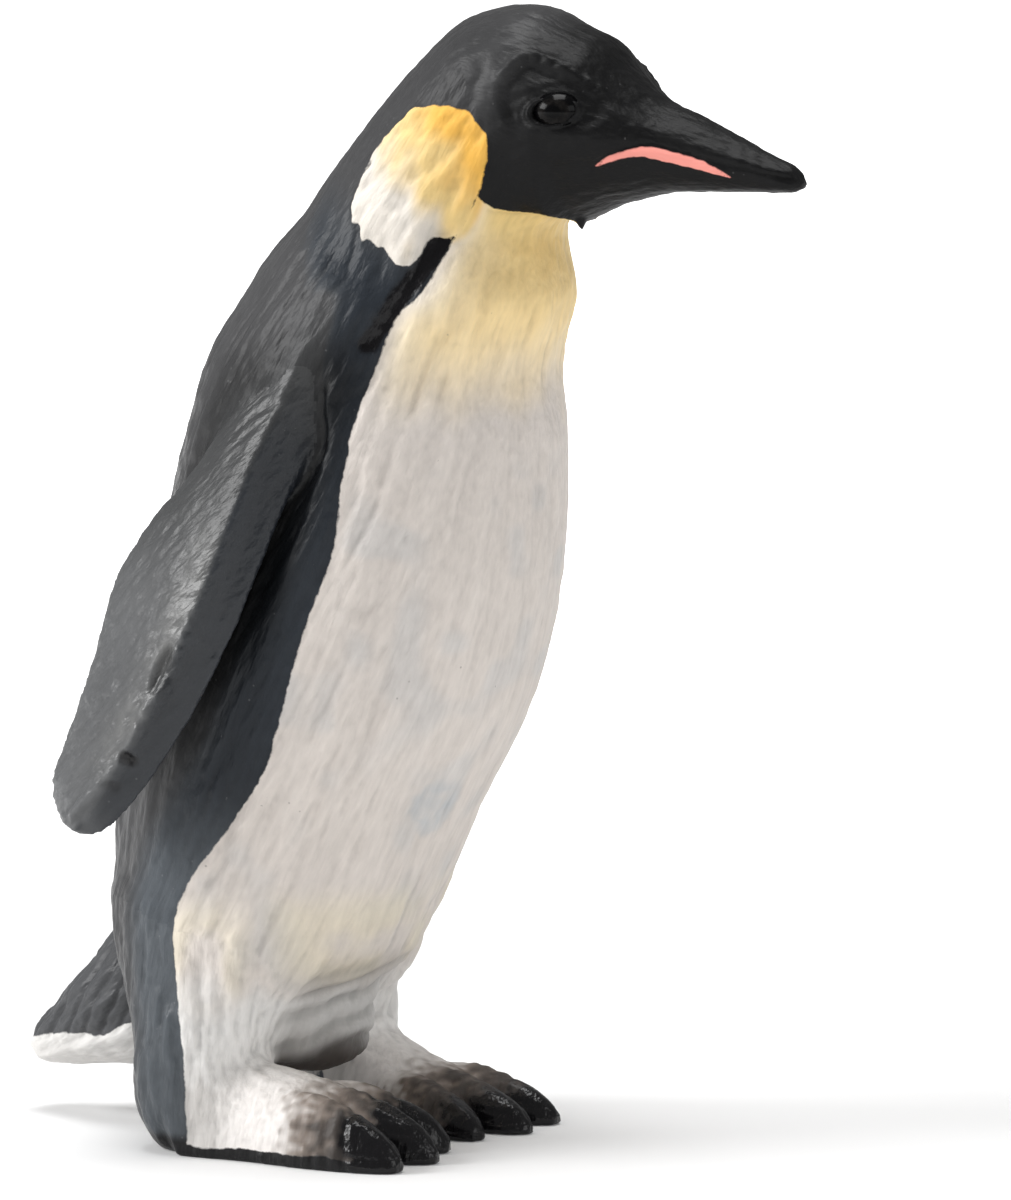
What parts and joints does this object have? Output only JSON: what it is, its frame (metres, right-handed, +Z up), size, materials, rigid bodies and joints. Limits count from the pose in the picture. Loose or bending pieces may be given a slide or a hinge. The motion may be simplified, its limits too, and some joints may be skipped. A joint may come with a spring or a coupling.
{
  "type": "penguin figurine",
  "caption": "Standing emperor penguin figurine in moulded, hand-painted plastic: hollow trunk, plug-in head, flippers, feet and tail, resting on two flat soles.",
  "frame": {"origin": "centre of the bounding box at the soles", "axes": "+Z up, -Y the way the penguin faces, +X its left side"},
  "size_m": [0.0368, 0.0557, 0.0731],
  "materials": {
    "belly": "satin warm white paint",
    "coat": "satin black paint",
    "foot": "satin paint, white leg to black claws",
    "eye": "gloss black"
  },
  "bodies": {
    "root": {"belly_shell": "belly", "back_shell": "coat", "head": "coat", "right_eye": "eye", "left_eye": "eye", "right_flipper": "coat", "left_flipper": "coat", "right_foot": "foot", "left_foot": "foot", "tail": "coat"}
  },
  "joints": []
}
